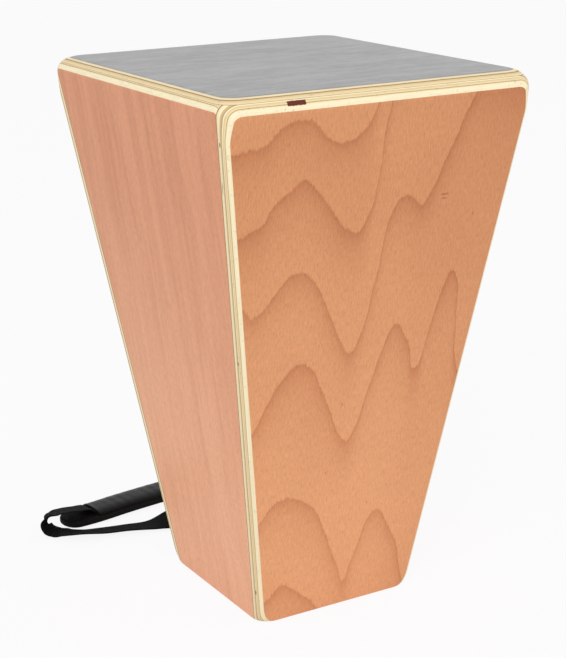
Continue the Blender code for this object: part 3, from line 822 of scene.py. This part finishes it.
def plate():
    """The playing plate: rings of four quarter circles joined by straight runs, which follow the
    box's outline up the top edge's arc. The last ring is drawn in on the flat top and closed.
    """
    low = HEIGHT - PLATE
    start = math.acos(1.0 - PLATE / FRONT_TOP_ROUND)
    z = HEIGHT - FRONT_TOP_ROUND * (1.0 - np.cos(np.linspace(start, 0.0, PLATE_ARC_STEPS)))
    z = np.concatenate([[low], z[1:], [HEIGHT]])[:, None]
    inset = np.zeros_like(z)
    inset[-1] = TOP_HOLD
    hx, hy, r = half_x(z) - inset, half_y(z) - inset, corner_radius(z) - inset
    turn = np.linspace(0, math.pi / 2, PLATE_CORNER_STEPS)[None, :]
    x, y = [], []
    for k, (sx, sy) in enumerate(((1, 1), (-1, 1), (-1, -1), (1, -1))):
        x.append(sx * (hx - r) + r * np.cos(turn + k * math.pi / 2))
        y.append(sy * (hy - r) + r * np.sin(turn + k * math.pi / 2))
    x, y = np.concatenate(x, 1), np.concatenate(y, 1)
    return shell(np.stack([x, y, z * np.ones_like(x)], -1))


# Strap

def smooth_line(rows, at):
    """A smooth curve through rows, read at the given row numbers; slopes weigh each side's run."""
    rows = np.asarray(rows, float)
    run = np.concatenate([[0.0], np.cumsum(np.linalg.norm(np.diff(rows[:, :3], axis=0), axis=1))])
    gap = np.diff(run)[:, None]
    slope = np.diff(rows, axis=0) / gap
    turn = np.concatenate([slope[:1],
                           (slope[:-1] * gap[1:] + slope[1:] * gap[:-1]) / (gap[:-1] + gap[1:]),
                           slope[-1:]])
    at = np.asarray(at, float)
    k = np.clip(at.astype(int), 0, len(rows) - 2)
    u = (at - k)[:, None]
    g = gap[k]
    return ((2 * u**3 - 3 * u**2 + 1) * rows[k] + (u**3 - 2 * u**2 + u) * g * turn[k]
            + (3 * u**2 - 2 * u**3) * rows[k + 1] + (u**3 - u**2) * g * turn[k + 1])


def pad_line_at(distance):
    """Points and headings of the pad's middle line at distances from its left end."""
    rows = np.array([(x, y, 0.0) for x, y in PAD_LINE])
    fine = smooth_line(rows, np.linspace(0, len(rows) - 1, LINE_STEPS * len(rows)))
    run = np.concatenate([[0.0], np.cumsum(np.linalg.norm(np.diff(fine, axis=0), axis=1))])
    point = np.stack([np.interp(distance, run, fine[:, k]) for k in range(2)], 1)
    ahead = np.stack([np.interp(distance + HEADING_STEP, run, fine[:, k]) for k in range(2)], 1)
    behind = np.stack([np.interp(distance - HEADING_STEP, run, fine[:, k]) for k in range(2)], 1)
    heading = ahead - behind
    return point, heading / np.linalg.norm(heading, axis=1)[:, None], run[-1]


def on_back(x, up, lift):
    """A point up the back panel's outer face from its foot, lifted off the face."""
    return np.array((x, FOOT_DEPTH / 2, 0.0)) - PANEL_DOWN * up + PANEL_OUT * lift


def tab_rows(x, direction):
    """Rows of a strap end, flat on the back panel along direction from the bolt."""
    across = np.cross(PANEL_OUT, direction)
    middle = on_back(x, ANCHOR_UP, WEB_LOW + WEB_THICK / 2)
    return [(*(middle + direction * s), *(across / np.linalg.norm(across)))
            for s in (-TAB_END, 0.0, TAB_FLAT - TAB_EASE, TAB_FLAT)]


def free_rows(run):
    """Rows of a free run, with the direction across the width worked out from its angles."""
    rows = []
    for x, y, z, azimuth, rise in run:
        a, r = math.radians(azimuth), math.radians(rise)
        rows.append((x, y, z, math.cos(a) * math.cos(r), math.sin(a) * math.cos(r), math.sin(r)))
    return rows


def match_side(rows, neighbour):
    """Rows whose width direction is turned to the neighbour's side."""
    if np.dot(rows[0][3:], neighbour[3:]) < 0:
        return [(*row[:3], *(-np.array(row[3:]))) for row in rows]
    return rows


def web_rows():
    """The whole route of the webbing from the left bolt to the right one."""
    point, heading, _ = pad_line_at(np.array(PAD_ROWS_ON_WEB))
    height = PAD_LIFT + PAD_THICK + GLUE_GAP + WEB_THICK / 2
    pad = [(x, y, height, -hy, hx, 0.0) for (x, y), (hx, hy) in zip(point, heading)]
    swung = PANEL_DOWN * math.cos(RIGHT_TAB_SWING) + np.array((math.sin(RIGHT_TAB_SWING), 0.0, 0.0))
    first, last = free_rows(LEFT_RUN), free_rows(RIGHT_RUN)
    left = match_side(tab_rows(-ANCHOR_SPREAD, PANEL_DOWN), first[0])
    right = match_side(tab_rows(ANCHOR_SPREAD, swung)[::-1], last[-1])
    return left + first + pad + last + right


def squared_oval(count, side_power, face_power):
    """An oval's offsets across and up, each from -1 to 1: powers below one square its corners."""
    angle = np.linspace(0, 2 * math.pi, count, endpoint=False)
    across, up = np.cos(angle), np.sin(angle)
    return (np.sign(across) * np.abs(across) ** side_power, np.sign(up) * np.abs(up) ** face_power)


def build_webbing(material):
    """A flat band with round edges along the route. Every ring is an oval, squared by raising its
    cosine and sine to powers below one, and it stands square to the route.
    """
    rows = web_rows()
    line = smooth_line(rows, np.linspace(0, len(rows) - 1, (len(rows) - 1) * WEB_STEPS + 1))
    middle, across = line[:, :3], line[:, 3:]
    run = np.concatenate([[0.0], np.cumsum(np.linalg.norm(np.diff(middle, axis=0), axis=1))])
    ahead = np.gradient(middle, run, axis=0)
    ahead /= np.linalg.norm(ahead, axis=1)[:, None]
    across = across - (across * ahead).sum(1)[:, None] * ahead
    across /= np.linalg.norm(across, axis=1)[:, None]
    face = np.cross(ahead, across)
    q, t = squared_oval(WEB_ROUND, WEB_SIDE_POWER, WEB_FACE_POWER)
    q, t = q * WEB_WIDTH / 2, t * WEB_THICK / 2
    rings = middle[:, None] + across[:, None] * q[None, :, None] + face[:, None] * t[None, :, None]
    chart = np.stack(np.broadcast_arrays(q[None, :], run[:, None]), -1).reshape(-1, 2)
    verts, faces = shell(rings)
    piece = add_piece("webbing", verts, faces, material, "nylon_webbing", "strap_webbing",
                      WEB_CREASE, chart)
    return piece, middle, float(run[-1])


def pad_top(q, half_width, thick):
    """Height of the pad's crown over its middle plane, for an offset q across it."""
    share = np.clip(1.0 - np.abs(q / half_width) ** PAD_CROWN_POWER, 0.0, 1.0)
    return thick / 2 * share ** (1.0 / PAD_CROWN_POWER)


def build_pad(material):
    """A flat cushion with round ends: a squared oval section along the pad's line. Ribs of the
    bound ends and a drawn-in seam round the middle are cut into its size.
    """
    _, _, long = pad_line_at(np.zeros(1))
    turn = np.linspace(PAD_END_START, math.pi / 2, PAD_END_STEPS)
    start = PAD_END_ROUND * (1.0 - np.cos(turn))
    body = np.linspace(PAD_END_ROUND, long - PAD_END_ROUND, PAD_BODY_STEPS)[1:-1]
    distance = np.concatenate([start, body, long - start[::-1]])
    grow = np.concatenate([np.sin(turn), np.ones(len(body)), np.sin(turn[::-1])])
    point, heading, _ = pad_line_at(distance)
    q, t = squared_oval(PAD_ROUND, 2.0 / PAD_CROWN_POWER, 2.0 / PAD_CROWN_POWER)
    near_end = np.exp(-np.minimum(distance, long - distance) / PAD_RIB_REACH)
    ridge = 0.5 + 0.5 * np.cos(distance * 2 * math.pi / PAD_RIB_PITCH)
    rib = 1.0 - PAD_RIB_CUT * near_end * ridge
    seam = 1.0 - PAD_SEAM_CUT * np.exp(-(t / PAD_SEAM_TALL) ** 2)
    half = (PAD_WIDTH / 2 * grow * rib)[:, None] * (q * seam)[None, :]
    thick = PAD_THICK * (PAD_END_THIN + (1.0 - PAD_END_THIN) * grow) * rib
    z = PAD_LIFT + PAD_THICK / 2 + thick[:, None] / 2 * t[None, :]
    x = point[:, :1] - heading[:, 1:] * half
    y = point[:, 1:] + heading[:, :1] * half
    verts, faces = shell(np.stack([x, y, z], -1))
    piece = add_piece("pad", verts, faces, material, "pad_cloth", "pad_base", PAD_CREASE)
    return piece


def build_sleeve(material):
    """The crowned cover over the webbing: an arch section with a channel, along the pad's line.
    A hem stands proud at both mouths and slight puckers run between them.
    """
    _, _, long = pad_line_at(np.zeros(1))
    distance = np.linspace(SLEEVE_INSET, long - SLEEVE_INSET, SLEEVE_STEPS)
    point, heading, _ = pad_line_at(distance)
    half, slot = SLEEVE_WIDTH / 2, WEB_WIDTH / 2 + SLEEVE_CLEARANCE
    middle = PAD_LIFT + PAD_THICK / 2
    roof = PAD_LIFT + PAD_THICK + 2 * GLUE_GAP + WEB_THICK
    across = half * np.sin(np.linspace(-math.pi / 2, math.pi / 2, SLEEVE_ACROSS))[1:-1]
    edge = middle + pad_top(half, PAD_WIDTH / 2, PAD_THICK) + GLUE_GAP
    rise = np.sqrt(1.0 - np.abs(across / half) ** SLEEVE_CROWN_POWER)
    from_end = np.minimum(distance - distance[0], distance[-1] - distance)
    hem = np.exp(-((from_end - HEM_INSET) / HEM_WIDE) ** 2) * HEM_TALL
    ripple = np.sin(distance * 2 * math.pi / PUCKER_PITCH)
    pucker = PUCKER_TALL * ripple * np.sin(distance * PUCKER_BEAT)
    crown = (roof + SLEEVE_THICK - edge) + hem + pucker
    top_z = edge + crown[:, None] * rise[None, :]
    foot_q = np.linspace(half, slot, SLEEVE_FOOT_STEPS)
    foot_z = middle + pad_top(foot_q, PAD_WIDTH / 2, PAD_THICK) + GLUE_GAP
    under_q = np.concatenate([foot_q, [slot, -slot], -foot_q[::-1]])
    under_z = np.concatenate([foot_z, [roof, roof], foot_z[::-1]])
    q = np.concatenate([across, under_q])[::-1]
    z = np.concatenate([top_z, np.broadcast_to(under_z, (len(distance), len(under_z)))], 1)[:, ::-1]
    x = point[:, :1] - heading[:, 1:] * q[None, :]
    y = point[:, 1:] + heading[:, :1] * q[None, :]
    verts, faces = shell(np.stack([x, y, z], -1))
    piece = add_piece("sleeve", verts, faces, material, "leatherette", "pad_sleeve",
                      SLEEVE_CREASE)
    return piece


# Hardware

def turned(name, profile, x, material, slot, node, closed=False, hexed=()):
    """A profile of (radius, height) points turned about a bolt's axis through the back panel. The
    rings named in hexed are six-sided. A closed profile makes a ring with a bore.
    """
    angle = np.linspace(0, 2 * math.pi, ROUND_STEPS, endpoint=False)
    radius = np.array([r for r, _ in profile])[:, None] * np.ones(ROUND_STEPS)
    wedge = (angle + HEX_HALF_SIDE) % (2 * HEX_HALF_SIDE) - HEX_HALF_SIDE
    for k in hexed:
        radius[k] *= math.cos(HEX_HALF_SIDE) / np.cos(wedge)
    height = np.array([h for _, h in profile])[:, None] * np.ones(ROUND_STEPS)
    side = np.array((1.0, 0.0, 0.0))
    up = np.cross(PANEL_OUT, side)
    rings = (on_back(x, ANCHOR_UP, 0.0) + (radius * np.cos(angle))[..., None] * side
             + (radius * np.sin(angle))[..., None] * up + height[..., None] * PANEL_OUT)
    if closed:
        rings = np.concatenate([rings, rings[:1]])
    verts, faces = shell(rings, caps=not closed)
    add_piece(name, verts, faces, material, slot, node, STEEL_CREASE)


def build_hardware(black, zinc):
    """Bolts with a domed head and a hexagon socket, their washers and the tee nuts inside."""
    bore = BOLT_RADIUS + BORE_CLEARANCE
    end = TEE_FACE - TEE_FLANGE_THICK - BOLT_REACH
    top = HEAD_LOW + BOLT_HEAD_TALL
    flat, socket = BOLT_HEX_RADIUS * BOLT_FLAT_SHARE, BOLT_HEX_RADIUS * HEX_CORNER_SHARE
    rise = np.linspace(0.0, 1.0, BOLT_DOME_STEPS)
    dome_r = flat + (BOLT_HEAD_RADIUS - flat) * np.sqrt(1 - rise**2)
    dome_h = HEAD_LOW + BOLT_HEAD_TALL * (BOLT_RIM_SHARE + (1 - BOLT_RIM_SHARE) * rise)
    bolt = [(BOLT_RADIUS * BOLT_TIP_SHARE, end), (BOLT_RADIUS, end + BOLT_TIP_TALL),
            (BOLT_RADIUS, HEAD_LOW), (BOLT_HEAD_RADIUS, HEAD_LOW), *zip(dome_r, dome_h),
            (socket, top), (socket, top - BOLT_HEX_DEEP)]
    washer = [(bore, WASHER_LOW), (WASHER_RADIUS, WASHER_LOW),
              (WASHER_RADIUS, WASHER_LOW + WASHER_THICK - WASHER_BEVEL),
              (WASHER_RADIUS - WASHER_BEVEL, WASHER_LOW + WASHER_THICK),
              (bore, WASHER_LOW + WASHER_THICK)]
    for side, x in (("left", -ANCHOR_SPREAD), ("right", ANCHOR_SPREAD)):
        turned(f"bolt_{side}", bolt, x, black, "black_steel", f"strap_bolt_{side}",
               hexed=(len(bolt) - 2, len(bolt) - 1))
        turned(f"washer_{side}", washer, x, black, "black_steel", f"strap_washer_{side}",
               closed=True)
        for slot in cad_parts[f"tee_nut_{side}"].material_slots:
            slot.material = zinc


# Studio

def seen_share(tree):
    """1 for camera, glossy and transmission rays, and 0 for light that falls on the drum."""
    path = tree.nodes.new("ShaderNodeLightPath")
    seen = path.outputs["Is Camera Ray"]
    for way in ("Is Glossy Ray", "Is Transmission Ray"):
        more = tree.nodes.new("ShaderNodeMath")
        more.operation = "MAXIMUM"
        tree.links.new(seen, more.inputs[0])
        tree.links.new(path.outputs[way], more.inputs[1])
        seen = more.outputs[0]
    return seen


def make_floor():
    """A pale floor that shows as white to the camera and keeps a soft shadow of the drum."""
    signs = ((-1, -1), (1, -1), (1, 1), (-1, 1))
    mesh = bpy.data.meshes.new("floor")
    mesh.from_pydata([(sx * FLOOR_HALF, sy * FLOOR_HALF, FLOOR_LOW) for sx, sy in signs], [],
                     [(0, 1, 2, 3)])
    paint = Paint("pale_floor", roughness=0.9, base_color=FLOOR_TONE, specular_ior_level=0.0)
    seen = Number(paint, seen_share(paint.tree))
    glow = paint.tree.nodes.new("ShaderNodeEmission")
    glow.inputs["Color"].default_value = FLOOR_GLOW
    share = paint.tree.nodes.new("ShaderNodeMixShader")
    output = paint.tree.nodes["Material Output"]
    for start, end in (((seen * FLOOR_GLOW_SHARE).socket, share.inputs[0]),
                       (paint.shader.outputs[0], share.inputs[1]),
                       (glow.outputs[0], share.inputs[2]),
                       (share.outputs[0], output.inputs["Surface"])):
        paint.tree.links.new(start, end)
    mesh.materials.append(paint.material)
    floor = bpy.data.objects.new("floor", mesh)
    bpy.context.scene.collection.objects.link(floor)


def make_world():
    """An even white surround: full white to the camera and in reflections, lower as a light."""
    world = bpy.data.worlds.new("studio")
    bpy.context.scene.world = world
    world.use_nodes = True
    tree = world.node_tree
    ground = tree.nodes["Background"]
    level = tree.nodes.new("ShaderNodeMapRange")
    level.inputs["To Min"].default_value = WORLD_AS_LIGHT
    level.inputs["To Max"].default_value = WORLD_AS_SEEN
    tree.links.new(seen_share(tree), level.inputs["Value"])
    tree.links.new(level.outputs[0], ground.inputs["Strength"])
    ground.inputs["Color"].default_value = WORLD_TONE


def add_softbox(name, at, aim, size, watts):
    """A square soft light that looks at a point."""
    data = bpy.data.lights.new(name, "AREA")
    data.size = size
    data.energy = watts
    lamp = bpy.data.objects.new(name, data)
    lamp.location = at
    lamp.rotation_mode = "QUATERNION"
    lamp.rotation_quaternion = (Vector(aim) - Vector(at)).to_track_quat("-Z", "Y")
    bpy.context.scene.collection.objects.link(lamp)


def build():
    """Camera and strap first, then the box, the hardware and the studio."""
    make_camera()
    pad = build_pad(pad_cloth())
    sleeve = build_sleeve(leatherette())
    band, route, length = build_webbing(webbing())

    for name, node, wall, material in (
            ("front_wall", "front_panel", long_wall(-1), front_wood("front_plywood", False)),
            ("back_wall", "back_panel", long_wall(1), front_wood("back_plywood", True)),
            ("left_wall", "left_panel", short_wall(-1), side_wood("left_plywood", 21.0)),
            ("right_wall", "right_panel", short_wall(1), side_wood("right_plywood", 37.0))):
        add_piece(name, *wall, material, "plywood", node)
    add_piece("playing_plate", *plate(), plate_wood(), "dark_veneer", "top_panel")

    spruce = softwood()
    for name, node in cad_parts.items():
        if name.startswith(("corner_batten", "top_rail")):
            for slot in node.material_slots:
                slot.material = spruce
    build_hardware(plated("black_oxide", (0.035, 0.035, 0.037), 0.38),
                   plated("zinc_plate", (0.62, 0.62, 0.60), 0.32))

    make_floor()
    make_world()
    for softbox in SOFTBOXES:
        add_softbox(*softbox)
    bpy.context.scene.view_settings.view_transform = "Standard"


build()
bpy.context.view_layer.update()
